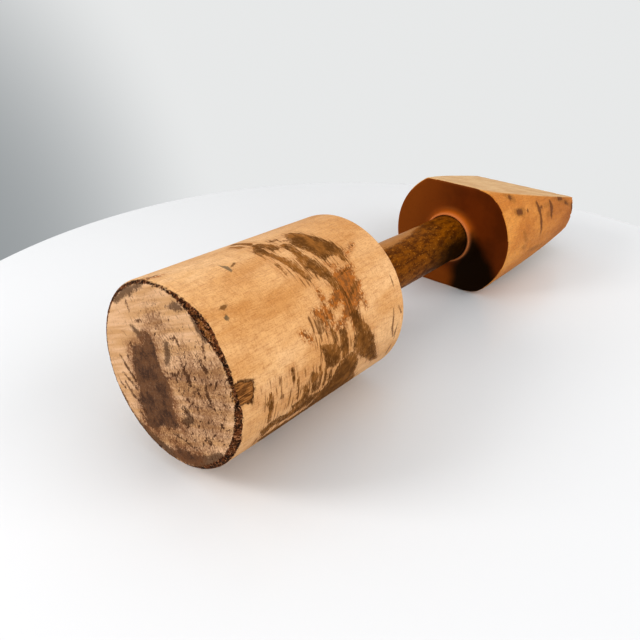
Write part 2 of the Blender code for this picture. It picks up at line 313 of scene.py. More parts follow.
# Marks on the peen's side, (station, angle).
PEEN_MARK_STROKES = [
    [(244.5, 45, 1.9)], [(246, 60, 1.9), (250, 61, 2.1)], [(258.7, 63, 1.2)],
    [(274.5, 60, 1.0), (276, 68, 2.1), (276.5, 72, 1.1), (277.5, 80, 1.6), (278.5, 91, 0.4)],
    [(275, 66, 0.5), (280, 66.5, 1.1)],
    [(294, 65, 1.2), (295.5, 72, 2.6), (294.5, 78, 1.6), (295.5, 83, 0.5)], line(308, 67, 314, 68.5, 2.4),
    [(319.5, 74, 1.2), (325, 78, 0.6)], [(332, 80, 1.4), (336, 88, 2.2)],
]
PEEN_FAINT_STROKES = [
    [(241, 42, 1.8), (247, 48, 2.8)], [(243, 59, 2.2), (253, 62, 3.0)], [(250, 80, 1.6), (255, 89, 2.0)],
    [(273, 62, 1.4), (279, 92, 1.6)], line(252, 95, 256, 97, 3.0), line(288, 76, 293, 77, 3.2),
    line(285, 67, 292, 67.5, 2.6), [(300, 64, 0.6), (318, 72, 1.6), (330, 80, 1.4)],
    [(266, 104, 1.2), (280, 108, 2.0), (292, 109, 1.0)],
    [(262, -50, 1.0), (268, -62, 2.2), (270, -75, 0.8)], line(300, -84, 306, -90, 2.0),
]
# The handle's shadow painted dark on the peen's inner face (painted shadow), as (side, up, half-width).
PAINTED_SHADOW_STROKES = [[(15, 5, 4.0), (17, -8, 10.0), (20, -22, 17.0), (25, -38, 24.0)]]


# --- Mesh building ---

def lofted(name, rings):
    """A closed mesh through rings of tool places, with a fan of triangles at each end."""
    count, columns, _ = rings.shape
    centres = np.array([rings[0].mean(axis=0), rings[-1].mean(axis=0)])
    places = np.vstack([rings.reshape(-1, 3), centres])
    column = np.arange(columns)
    after = (column + 1) % columns
    faces = []
    for row in range(count - 1):
        base = row * columns
        quads = np.stack([base + column, base + columns + column, base + columns + after, base + after], 1)
        faces += quads.tolist()
    start, end = len(places) - 2, len(places) - 1
    last = (count - 1) * columns
    faces += np.stack([np.full(columns, start), column, after], 1).tolist()
    faces += np.stack([last + column, np.full(columns, end), last + after], 1).tolist()
    return new_piece(name, places, faces)


def new_piece(name, places, faces):
    """An object at the origin whose mesh holds its place in the row frame, faces outwards."""
    mesh = bpy.data.meshes.new(name)
    mesh.from_pydata(to_row(places).tolist(), [], faces)
    solid = bmesh.new()
    solid.from_mesh(mesh)
    if solid.calc_volume(signed=True) < 0:
        bmesh.ops.reverse_faces(solid, faces=solid.faces[:])
    solid.to_mesh(mesh)
    solid.free()
    piece = bpy.data.objects.new(name, mesh)
    bpy.context.scene.collection.objects.link(piece)
    return piece


def leg(start, end, spacing):
    """Evenly spaced profile points from start, left out, to end."""
    count = max(1, round(math.dist(start, end) / spacing))
    return [tuple(np.array(start) + (np.array(end) - np.array(start)) * step / count)
            for step in range(1, count + 1)]


def extend(profile, *legs):
    """Add straight legs, each given as the station and radius of its end and its point spacing."""
    for station, radius, spacing in legs:
        profile += leg(profile[-1], (station, radius), spacing)


def corner(centre, radius, start_degrees, end_degrees, count):
    """Profile points round a corner; 0 degrees points along the station and 90 outwards."""
    angles = np.radians(np.linspace(start_degrees, end_degrees, count + 1))
    return [(centre[0] + radius * math.cos(a), centre[1] + radius * math.sin(a)) for a in angles]


def profile_normals(profile):
    """Unit normals of a profile that runs with the material on its right-hand side."""
    ahead = np.vstack([profile[1:], profile[-1:]])
    behind = np.vstack([profile[:1], profile[:-1]])
    along = ahead - behind
    outward = np.stack([along[:, 1], -along[:, 0]], 1)
    return outward / np.maximum(np.linalg.norm(outward, axis=1), 1e-9)[:, None]


def grain_noise(places, frequency, octaves=3, seed=0.0):
    """Fractal noise between about -1 and 1 at tool places."""
    stretch = np.broadcast_to(np.array(frequency, float), (3,))
    values = [noise.fractal(Vector(place) + Vector((seed, seed, seed)), 1.0, 2.0, octaves)
              for place in places * stretch]
    return np.array(values)


def turned(name, profile, columns, shape=None):
    """A turned piece from (station, radius) points; shape gives each corner's outward move."""
    profile = np.array(profile)
    normals = profile_normals(profile)
    angles = np.linspace(0.0, 2 * math.pi, columns, endpoint=False)
    station = np.repeat(profile[:, :1], columns, axis=1)
    radius = np.repeat(profile[:, 1:], columns, axis=1)
    angle = np.repeat(angles[None, :], len(profile), axis=0)
    if shape:
        move = shape(station.ravel(), radius.ravel(), angle.ravel()).reshape(station.shape)
        station = station + move * normals[:, :1]
        radius = radius + move * normals[:, 1:]
    return lofted(name, around(station, angle, radius))


def paint(piece, layers):
    """Store the tool place and each layer's value at every corner of a piece's mesh."""
    mesh = piece.data
    places = to_tool(corners_of(mesh))
    stored = mesh.attributes.new("tool_place", "FLOAT_VECTOR", "POINT")
    stored.data.foreach_set("vector", places.ravel())
    for name, values in layers(places).items():
        stored = mesh.attributes.new(name, "FLOAT", "POINT")
        stored.data.foreach_set("value", np.asarray(values, float))


def dress(piece, materials, choose=None):
    """Give a piece its materials; choose picks one for each face from its middle and normal."""
    mesh = piece.data
    for material in materials:
        mesh.materials.append(material)
    if choose:
        middle = np.empty(3 * len(mesh.polygons))
        normal = np.empty(3 * len(mesh.polygons))
        mesh.polygons.foreach_get("center", middle)
        mesh.polygons.foreach_get("normal", normal)
        picked = choose(to_tool(middle.reshape(-1, 3)), normal.reshape(-1, 3) @ BASIS.T)
        mesh.polygons.foreach_set("material_index", picked.astype(int))
    mesh.shade_smooth()
    mesh.set_sharp_from_angle(angle=SHARP_ANGLE)


def around(station, angle, radius):
    """Tool places of stations, angles in radians and radii."""
    station = np.broadcast_to(station, angle.shape)
    return np.stack([station, radius * np.sin(angle), radius * np.cos(angle)], -1)


def polar(places):
    """Station, angle in radians and radius of tool places."""
    return places[:, 0], np.arctan2(places[:, 1], places[:, 2]), np.hypot(places[:, 1], places[:, 2])


# --- Butt head ---

def rim_wear(angle):
    """Width of the frayed band on the side and on the face."""
    wear = np.array(RIM_WEAR)
    degrees = np.degrees(angle)
    return [np.interp(degrees, wear[:, 0], wear[:, column], period=360) for column in (1, 2)]


def rim_depth(station, angle, radius):
    """How deep a place lies in the frayed band at the struck rim."""
    on_side, on_face = rim_wear(angle)
    return np.minimum(on_side - station, on_face - (BUTT_RADIUS - radius))


def butt_surface(station, angle):
    """Unrolled places on the butt's side."""
    return np.stack([station, angle * BUTT_RADIUS], 1)


def butt_shape(station, radius, angle):
    """Outward move of the butt's surface: out of round, frayed at the rim and torn at the chip."""
    angle = (angle + math.pi) % (2 * math.pi) - math.pi
    places = around(station, angle, radius)
    outside = (radius > 12.5) | (station < 5)
    move = np.zeros(len(station))
    move[outside] = 0.10 * grain_noise(places[outside], (0.03, 0.05, 0.05), 2)
    rim = rim_depth(station, angle, radius)
    frayed = rim > -1.5
    cover = np.clip((rim[frayed] + 0.8) / 1.2, 0, 1)
    lumps = grain_noise(places[frayed], 0.62, 3, 5.0)
    crumbs = grain_noise(places[frayed], 1.7, 2, 9.0)
    cover *= np.clip(rim_wear(angle[frayed])[0] - 1.3, 0.15, 1)
    move[frayed] += cover * (0.05 + 0.55 * lumps + 0.30 * crumbs)
    chip = depth(butt_surface(station, angle), patches=unrolled(CHIP_PATCHES, BUTT_RADIUS))
    torn = (chip > -0.5) & (radius > BUTT_RADIUS - 4)
    fibres = grain_noise(places[torn], (0.10, 0.9, 0.9), 2, 3.0)
    fade = np.clip((radius[torn] - BUTT_RADIUS + 4) / 2.5, 0, 1)
    move[torn] -= fade * np.clip((chip[torn] + 0.5) / 1.0, 0, 1) * (0.75 + 0.35 * fibres)
    return np.clip(move, -1.4, 0.85)


# How far the paint has crept past its outlines, and the depth that a veil of it counts as.
PAINT_SPREAD = 0.2
VEIL_DEPTH = -0.8


def butt_layers(places):
    """Every mark on the butt: depths in millimetres, and shares from 0 to 1."""
    station, angle, radius = polar(places)
    surface = butt_surface(station, angle)
    face = places[:, 1:]

    def on_side(strokes=(), patches=()):
        return depth(surface, unrolled(strokes, BUTT_RADIUS), unrolled(patches, BUTT_RADIUS))

    stain = PAINT_SPREAD + on_side(STAIN_STROKES, STAIN_PATCHES)
    return {
        "stain": np.maximum(stain, np.minimum(on_side(patches=VEIL_PATCHES), VEIL_DEPTH)),
        "rust": PAINT_SPREAD + on_side(RUST_STROKES, RUST_PATCHES),
        "scratch": on_side(SCRATCH_STROKES),
        "grey": on_side(patches=GREY_PATCHES),
        "chip": on_side(patches=CHIP_PATCHES),
        "rim": np.clip(rim_depth(station, angle, radius), -DEEPEST, DEEPEST),
        "smear": depth(face, patches=SMEAR_PATCHES),
        "face_mark": depth(face, FACE_MARK_STROKES),
        "grey_smear": depth(face, GREY_SMEAR_STROKES),
        "dirt": dirtiness(face),
        "warmth": warmth(station, angle),
        "thick": np.clip((np.degrees(angle) - 12) / 50, 0, 1),
    }


def dirtiness(face):
    """How dirty the struck face is at these (side, up) places, from 0 to 1."""
    clean = np.ones(len(face))
    for side, up, reach in DIRT_SPOTS:
        clean *= 1 - 0.8 * np.exp(-((face[:, 0] - side) ** 2 + (face[:, 1] - up) ** 2) / reach ** 2)
    return 1 - clean


def warmth(station, angle):
    """Where the oiled side is more orange, from 0 to 1."""
    degrees = np.degrees(angle)
    orange = np.exp(-((station - 26) / 26) ** 2 - ((degrees - 40) / 28) ** 2)
    pale = np.exp(-((station - 20) / 12) ** 2 - ((degrees - 73) / 10) ** 2)
    pale = np.maximum(pale, np.exp(-((station - 10) / 22) ** 2 - ((degrees + 6) / 18) ** 2))
    orange = np.maximum(orange, 0.9 * np.clip((station - 62) / 25, 0, 1) * np.clip((50 - degrees) / 40, 0, 1))
    return np.clip(0.45 + 0.5 * orange - 0.5 * pale, 0, 1)


# Columns of the butt's mesh, and how far its finer rows reach from the struck rim.
BUTT_COLUMNS = 360
FINE_SIDE = 5.0
FINE_FACE = 6.0


def make_butt():
    """The butt head, turned, with its mortise."""
    end, inner, struck = BUTT_END, INNER_RIM_ROUNDING, STRUCK_RIM_ROUNDING
    floor = (TENON_ENDS[0] - MORTISE_CLEARANCE, TENON_RADIUS + TENON_SPREAD + GAP)
    profile = [floor]
    extend(profile, (end, TENON_RADIUS + GAP, 8.0), (end, BUTT_RADIUS - inner, 1.5))
    profile += corner((end - inner, BUTT_RADIUS - inner), inner, 0, 90, 5)[1:]
    extend(profile, (FINE_SIDE, BUTT_RADIUS, 0.76), (struck, BUTT_RADIUS, 0.36))
    profile += corner((struck, BUTT_RADIUS - struck), struck, 90, 180, 10)[1:]
    extend(profile, (0.0, BUTT_RADIUS - FINE_FACE, 0.4), (0.0, 1.0, 0.9))
    piece = turned("butt_head_detailed", profile, BUTT_COLUMNS, butt_shape)
    paint(piece, butt_layers)

    def choose(middle, normal):
        return np.where((normal[:, 0] < -0.75) & (middle[:, 0] < 3.0), 1, 0)

    dress(piece, [butt_side_material(), butt_face_material()], choose)
    return piece


# --- Peen head ---

FLAT_COLUMNS = 50
ROUND_COLUMNS = 60
FACE_RINGS = 24
SIDE_RINGS = 132
TIP_RINGS = 15


def flat_height(reach):
    """Half the distance between the flats, at this reach from the peen's inner face."""
    share = np.clip(reach / PEEN_LENGTH, 0, 1)
    return FLAT_HEIGHT_AT_FACE + (FLAT_HEIGHT_AT_EDGE - FLAT_HEIGHT_AT_FACE) * share


def column_angles(reach):
    """Angles of the peen's columns, which follow the edges of the flats."""
    edge = math.acos(flat_height(reach) / PEEN_RADIUS)
    on_flat = np.arctan(np.linspace(0, 1, FLAT_COLUMNS, endpoint=False) * math.tan(edge))
    on_round = np.linspace(edge, math.pi / 2, ROUND_COLUMNS + 1)
    quarter = np.concatenate([on_flat, on_round])
    mirrored = quarter[::-1]
    return np.concatenate([quarter[:-1], math.pi - mirrored[:-1], math.pi + quarter[:-1],
                           2 * math.pi - mirrored[:-1]])


def peen_reach(reach, angles):
    """Radius of the peen's outline, with its edges eased."""
    near_side = np.sin(angles) > 0
    below = np.cos(angles) < 0
    at_face = math.exp(-((reach / 9.0) ** 2))
    at_edge = math.exp(-(((PEEN_LENGTH - reach) / 6.0) ** 2))
    easing = 0.9 + np.where(near_side, 3.6, 0.2) * at_face + np.where(near_side & below, 4.0, 0.8) * at_edge
    plane = flat_height(reach) / np.maximum(np.abs(np.cos(angles)), 1e-3)
    overlap = np.clip(easing - np.abs(PEEN_RADIUS - plane), 0, None) / easing
    return np.minimum(PEEN_RADIUS, plane) - overlap ** 2 * easing / 4


def peen_rings():
    """Rings of the peen, from the bottom of its mortise over the inner face to the blunt edge."""
    rings = []
    at_face = column_angles(0.0)
    floor = TENON_ENDS[1] + MORTISE_CLEARANCE
    lip = GRIP_RADIUS_AT_PEEN + GAP
    socket = PEEN_FACE + SOCKET_DEPTH
    easing = 0.5
    foot = COLLAR_RADIUS + COLLAR_HEIGHT
    profile = [(floor, TENON_RADIUS + TENON_SPREAD + GAP)]
    extend(profile, (socket, TENON_RADIUS + GAP, 9.0), (socket, lip, 1.6), (COLLAR_LIP + easing, lip, 1.2))
    profile += corner((COLLAR_LIP + easing, lip + easing), easing, 270, 180, 3)[1:]
    extend(profile, (COLLAR_LIP, COLLAR_RADIUS - 0.3, 0.4))
    profile += corner((COLLAR_LIP, foot), COLLAR_HEIGHT, 270, 360, 9)[1:]
    for station, radius in profile:
        rings.append(around(station, at_face, radius))
    rim = PEEN_RIM_ROUNDING
    edge = peen_reach(0.0, at_face)
    for step in range(1, FACE_RINGS + 1):
        share = step / FACE_RINGS
        rings.append(around(PEEN_FACE, at_face, foot + share * (edge - rim - foot)))
    for turn in np.radians(np.linspace(0, 90, 6))[1:]:
        inset = rim * (1 - math.sin(turn))
        rings.append(around(PEEN_FACE + rim * (1 - math.cos(turn)), at_face, edge - inset))
    for reach in np.linspace(rim, PEEN_LENGTH - rim, SIDE_RINGS)[1:]:
        angles = column_angles(reach)
        rings.append(around(PEEN_FACE + reach, angles, peen_reach(reach, angles)))
    at_edge = column_angles(PEEN_LENGTH)
    edge = peen_reach(PEEN_LENGTH, at_edge)
    for turn in np.radians(np.linspace(0, 90, 6))[1:]:
        inset = rim * (1 - math.cos(turn))
        rings.append(around(PEEN_END - rim * (1 - math.sin(turn)), at_edge, edge - inset))
    for share in np.linspace(1, 0, TIP_RINGS)[1:-1]:
        rings.append(around(PEEN_END, at_edge, (edge - rim) * share))
    return np.array(rings)


def peen_edge_wear(places):
    """Small moves along the normals: a slightly uneven surface, and dents at the blunt edge."""
    station, _, radius = polar(places)
    outside = (radius > 21) | (station > PEEN_END - 2)
    move = np.zeros(len(places))
    move[outside] = 0.10 * grain_noise(places[outside], (0.03, 0.07, 0.07), 2, 2.0)
    worn = outside & (station > PEEN_END - 7)
    bruises = grain_noise(places[worn], 0.35, 3, 7.0)
    move[worn] -= np.clip((station[worn] - PEEN_END + 7) / 7, 0, 1) * np.clip(bruises, 0, 1) * 0.8
    return move


def peen_layers(places):
    """Every mark on the peen: depths in millimetres, and shares from 0 to 1."""
    station, angle, radius = polar(places)
    surface = np.stack([station, angle * PEEN_RADIUS], 1)
    below_flat = flat_height(station - PEEN_FACE) - np.abs(places[:, 2])
    return {
        "mark": depth(surface, unrolled(PEEN_MARK_STROKES, PEEN_RADIUS)),
        "faint": depth(surface, unrolled(PEEN_FAINT_STROKES, PEEN_RADIUS)),
        "flat": np.clip(1.3 - below_flat / 0.35, 0, 1),
        "reach": (station - PEEN_FACE) / PEEN_LENGTH,
        # Painted highlight: a thin light line round the collar's lip.
        "lip": np.exp(-((radius - COLLAR_RADIUS + 0.5) / 0.7) ** 2) * (station < PEEN_FACE - 1),
        # A paler ring of varnish round the collar, made brightest at its upper -Y side as a painted highlight
        # where the collar's foot catches the light.
        "pale_ring_and_highlight": np.exp(-np.abs(radius - COLLAR_RADIUS - 0.4) / 1.3) * (0.5 + 0.5 * np.cos(angle - 0.7)),
        # Painted light: the inner face made lighter towards its +Y side and low down, where the light falls.
        "left": np.clip((6 - places[:, 1]) / 34 + 0.09 * np.clip(-17 - places[:, 2], 0, 9), 0, 1),
        # Painted shadow: where the handle's shadow falls on the inner face.
        "painted_shade": depth(places[:, 1:], PAINTED_SHADOW_STROKES),
    }


def make_peen():
    """The peen head, sawn by two flats, with its collar and mortise."""
    piece = lofted("peen_head_detailed", peen_rings())
    mesh = piece.data
    places = to_tool(corners_of(mesh))
    normals = np.empty(3 * len(mesh.vertices))
    mesh.vertices.foreach_get("normal", normals)
    normals = normals.reshape(-1, 3)
    moved = corners_of(mesh) + MM * normals * peen_edge_wear(places)[:, None]
    mesh.vertices.foreach_set("co", moved.ravel())
    paint(piece, peen_layers)

    def choose(middle, normal):
        station, _, radius = polar(middle)
        bore = (radius < GRIP_RADIUS_AT_PEEN + 2 * GAP) & (station < TENON_ENDS[1] + 2.5)
        inner = (station < PEEN_FACE + 0.35) | bore
        tip = (normal[:, 0] > 0.7) & (station > PEEN_END - 2)
        return np.where(tip, 2, np.where(inner, 1, 0))

    dress(piece, [peen_side_material(), peen_face_material(), peen_tip_material()], choose)
    return piece


# --- Handle ---

def handle_shape(station, radius, angle):
    """Outward move of the grip: a hand-worn, slightly wavy surface."""
    on_grip = (station > BUTT_SHOULDER + 1) & (station < COLLAR_LIP - 1)
    places = around(station, angle, radius)
    move = np.zeros(len(station))
    ends = np.minimum(station - BUTT_SHOULDER - 1, COLLAR_LIP - 1 - station)[on_grip] / 6
    move[on_grip] = np.clip(ends, 0, 1) * (0.16 * grain_noise(places[on_grip], (0.045, 0.09, 0.09), 2, 4.0))
    return move


def kerf(name, mouth_station, direction):
    """The tapered block that saws a kerf into a tenon's end."""
    spare = 1.0
    slope = (KERF_MOUTH_WIDTH - KERF_ROOT_WIDTH) / KERF_LENGTH
    ends = [(mouth_station - direction * spare, KERF_MOUTH_WIDTH + slope * spare),
            (mouth_station + direction * KERF_LENGTH, KERF_ROOT_WIDTH)]
    reach = 1.5 * TENON_RADIUS
    places = [(station, side * width / 2, up * reach) for station, width in ends
              for side, up in ((-1, -1), (1, -1), (1, 1), (-1, 1))]
    faces = [(0, 1, 2, 3), (7, 6, 5, 4), (0, 4, 5, 1), (1, 5, 6, 2), (2, 6, 7, 3), (3, 7, 4, 0)]
    return new_piece(name, np.array(places, float), faces)


HANDLE_COLUMNS = 160
# Where a paler sheen is painted along the grip's top as a painted highlight, (station, angle, half-width).
PAINTED_SHEEN_STROKES = [[(136, -4, 3.0), (154, -9, 5.4), (172, -16, 5.4), (192, -24, 2.6)]]


def make_handle():
    """The grip with both tenons, kerfed for their wedges."""
    spread = TENON_RADIUS + TENON_SPREAD
    chamfer = SHOULDER_CHAMFER
    profile = [(TENON_ENDS[1], 2.0)]
    extend(profile, (TENON_ENDS[1], spread, 3.0), (PEEN_SHOULDER, TENON_RADIUS, 6.0),
           (PEEN_SHOULDER, GRIP_RADIUS_AT_PEEN - chamfer, 1.2))
    profile += [(PEEN_SHOULDER - chamfer, GRIP_RADIUS_AT_PEEN)]
    extend(profile, (BUTT_SHOULDER + chamfer, GRIP_RADIUS_AT_BUTT, 0.8))
    profile += [(BUTT_SHOULDER, GRIP_RADIUS_AT_BUTT - chamfer)]
    extend(profile, (BUTT_SHOULDER, TENON_RADIUS, 1.2), (TENON_ENDS[0], spread, 6.0),
           (TENON_ENDS[0], 2.0, 3.0))
    piece = turned("handle_detailed", profile, HANDLE_COLUMNS, handle_shape)
    for name, mouth_station, direction in (("butt_kerf", TENON_ENDS[0], 1), ("peen_kerf", TENON_ENDS[1], -1)):
        cutter = kerf(name, mouth_station, direction)
        saw = piece.modifiers.new(name, "BOOLEAN")
        saw.operation = "DIFFERENCE"
        saw.solver = "EXACT"
        saw.object = cutter
        evaluated = piece.evaluated_get(bpy.context.evaluated_depsgraph_get())
        mesh = bpy.data.meshes.new_from_object(evaluated)
        piece.modifiers.clear()
        piece.data = mesh
        bpy.data.objects.remove(cutter)
    paint(piece, handle_layers)

    def choose(middle, normal):
        return np.where(polar(middle)[2] < TENON_RADIUS + 1.0, 1, 0)

    dress(piece, [grip_material(), raw_wood_material()], choose)
    return piece


def handle_layers(places):
    """Marks on the grip: a painted sheen along its top and painted shade under it near the peen."""
    station, angle, radius = polar(places)
    surface = np.stack([station, angle * GRIP_RADIUS_AT_BUTT], 1)
    degrees = np.degrees(angle)
    return {
        # Painted highlight: a paler sheen along the top of the grip.
        "painted_sheen": depth(surface, unrolled(PAINTED_SHEEN_STROKES, GRIP_RADIUS_AT_BUTT)),
        # Painted shade: darker on the underside towards the peen, where the grip lies in shade.
        "painted_shade": np.clip((station - 170) / 32, 0, 1) * np.clip((92 - np.abs(degrees - 135)) / 36, 0, 1),
    }


# --- Materials ---

def colour(red, green, blue):
    """A scene-linear colour from an 8-bit one."""
    linear = []
    for value in (red, green, blue):
        share = value / 255
        linear.append(share / 12.92 if share <= 0.04045 else ((share + 0.055) / 1.055) ** 2.4)
    return (*linear, 1.0)


class Finish:
    """One node material, built socket by socket."""

    def __init__(self, name):
        self.material = bpy.data.materials.new(name)
        self.material.use_nodes = True
        self.tree = self.material.node_tree
        self.surface = self.tree.nodes["Principled BSDF"]

    def feed(self, socket, value):
        """Link a socket, or give it a plain value."""
        if isinstance(value, bpy.types.NodeSocket):
            self.tree.links.new(value, socket)
        else:
            socket.default_value = value

    def layer(self, name):
        """The value of a painted layer."""
        node = self.tree.nodes.new("ShaderNodeAttribute")
        node.attribute_name = name
        return node.outputs["Fac"]

    def place(self):
        """The tool place, in millimetres."""
        node = self.tree.nodes.new("ShaderNodeAttribute")
        node.attribute_name = "tool_place"
        return node.outputs["Vector"]

    def noise(self, scale, detail=3.0, roughness=0.7, turn=0.0, vector=None):
        """Noise with this many features per unit along each axis, after a turn in degrees round the first."""
        mapping = self.tree.nodes.new("ShaderNodeMapping")
        self.feed(mapping.inputs["Vector"], vector or self.place())
        if turn:
            turned_place = mapping
            turned_place.inputs["Rotation"].default_value = (math.radians(turn), 0.0, 0.0)
            mapping = self.tree.nodes.new("ShaderNodeMapping")
            self.feed(mapping.inputs["Vector"], turned_place.outputs["Vector"])
        mapping.inputs["Scale"].default_value = np.broadcast_to(scale, 3)
        node = self.tree.nodes.new("ShaderNodeTexNoise")
        self.feed(node.inputs["Vector"], mapping.outputs["Vector"])
        node.inputs["Scale"].default_value = 1.0
        node.inputs["Detail"].default_value = detail
        node.inputs["Roughness"].default_value = roughness
        return node.outputs["Fac"]

    def math(self, operation, *values):
        """One Math node."""
        node = self.tree.nodes.new("ShaderNodeMath")
        node.operation = operation
        for socket, value in zip(node.inputs, values):
            self.feed(socket, value)
        return node.outputs["Value"]

    def times(self, first, second):
        """The product of two values."""
        return self.math("MULTIPLY", first, second)

    def scaled(self, value, factor, offset):
        """A value times a factor, plus an offset."""
        return self.math("MULTIPLY_ADD", value, factor, offset)

    def ease(self, value, low, high, start=0.0, end=1.0):
        """A smooth step of value from low to high, mapped to start and end."""
        node = self.tree.nodes.new("ShaderNodeMapRange")
        node.interpolation_type = "SMOOTHSTEP"
        self.feed(node.inputs["Value"], value)
        for name, setting in (("From Min", low), ("From Max", high), ("To Min", start), ("To Max", end)):
            node.inputs[name].default_value = setting
        return node.outputs["Result"]

    def blend(self, share, first, second):
        """Mix two colours."""
        node = self.tree.nodes.new("ShaderNodeMix")
        node.data_type = "RGBA"
        self.feed(node.inputs[0], share)
        self.feed(node.inputs[6], first)
        self.feed(node.inputs[7], second)
        return node.outputs[2]

    def lay(self, base, mask, strength, tone):
        """Lay a tone over the base where a mask is, at this strength."""
        return self.blend(self.times(mask, strength), base, tone)

    def over(self, base, value, low, high, strength, tone):
        """Lay a tone over the base, from none where value is low to this strength where it is high."""
        return self.blend(self.ease(value, low, high, 0.0, strength), base, tone)

    def ragged(self, field, *noises, edge=0.25):
        """A mask inside a field, whose edge is broken up by (noise, millimetres) pairs."""
        for source, reach in noises:
            field = self.math("ADD", field, self.scaled(source, 2 * reach, -reach))
        return self.ease(field, -edge, edge)

    def bump(self, height, distance):
        """A bump of this height in millimetres."""
        node = self.tree.nodes.new("ShaderNodeBump")
        node.inputs["Distance"].default_value = distance * MM
        self.feed(node.inputs["Height"], height)
        return node.outputs["Normal"]

    def done(self, base, roughness, normal=None, specular=0.5, tint=(1.0, 1.0, 1.0, 1.0)):
        """Connect the surface and return the material."""
        self.surface.inputs["Specular Tint"].default_value = tint
        self.feed(self.surface.inputs["Base Color"], base)
        self.feed(self.surface.inputs["Roughness"], roughness)
        self.surface.inputs["Specular IOR Level"].default_value = specular
        if normal:
            self.feed(self.surface.inputs["Normal"], normal)
        return self.material


WARM_GLOSS = colour(255, 196, 128)
UMBER_LIGHT = colour(152, 103, 50)
UMBER_DARK = colour(102, 65, 25)
UMBER_DEEP = colour(74, 44, 12)
RUST_LIGHT = colour(160, 92, 14)
RUST_DARK = colour(108, 60, 8)
# Near-black tone for painted shadow and painted shade.
PAINTED_SHADE_TONE = colour(16, 5, 1)


def long_grain(wood, pale, mid, dark):
    """Maple cut along the grain: soft figure, fibres along the axis, tool lines round it, and flecks."""
    figure = wood.noise((0.025, 0.08, 0.08), 3.0, 0.6)
    base = wood.blend(wood.ease(figure, 0.35, 0.68), pale, mid)
    patches = wood.noise((0.22, 0.30, 0.30), 3.0, 0.6)
    base = wood.over(base, patches, 0.40, 0.70, 0.16, dark)
    fibres = wood.noise((0.18, 1.8, 1.8), 4.0, 0.72)
    base = wood.over(base, fibres, 0.46, 0.70, 0.36, dark)
    tool_lines = wood.noise((1.4, 0.14, 0.14))
    base = wood.over(base, tool_lines, 0.48, 0.70, 0.20, dark)
    flecks = wood.noise((1.3, 1.6, 1.6))
    base = wood.over(base, flecks, 0.48, 0.70, 0.34, dark)
    base = wood.over(base, flecks, 0.46, 0.28, 0.36, pale)
    height = wood.math("ADD", fibres, flecks)
    return base, height


def frayed_rim(wood, base, height, streaks, fine):
    """Crushed fibres round the struck rim: dark ropy lumps with brown and pale crumbs."""
    rim = wood.layer("rim")
    mask = wood.ragged(rim, (streaks, 0.8), (fine, 1.0))
    lumps = wood.noise(0.42)
    crumbs = wood.noise(1.15)
    fray = wood.blend(wood.ease(lumps, 0.42, 0.58), colour(40, 22, 14), colour(112, 66, 38))
    torn = wood.times(wood.ease(rim, 0.8, 1.7), wood.ease(lumps, 0.40, 0.52))
    torn = wood.times(torn, wood.ease(wood.layer("thick"), 0.75, 1.0, 1.0, 0.2))
    fray = wood.blend(torn, fray, colour(140, 94, 52))
    fray = wood.over(fray, crumbs, 0.48, 0.40, 0.85, colour(30, 16, 10))
    fray = wood.over(fray, crumbs, 0.57, 0.64, 0.85, colour(196, 146, 106))
    base = wood.blend(mask, base, fray)
    rough = wood.times(mask, wood.math("ADD", lumps, crumbs))
    height = wood.scaled(rough, 2.5, height)
    return base, height, mask


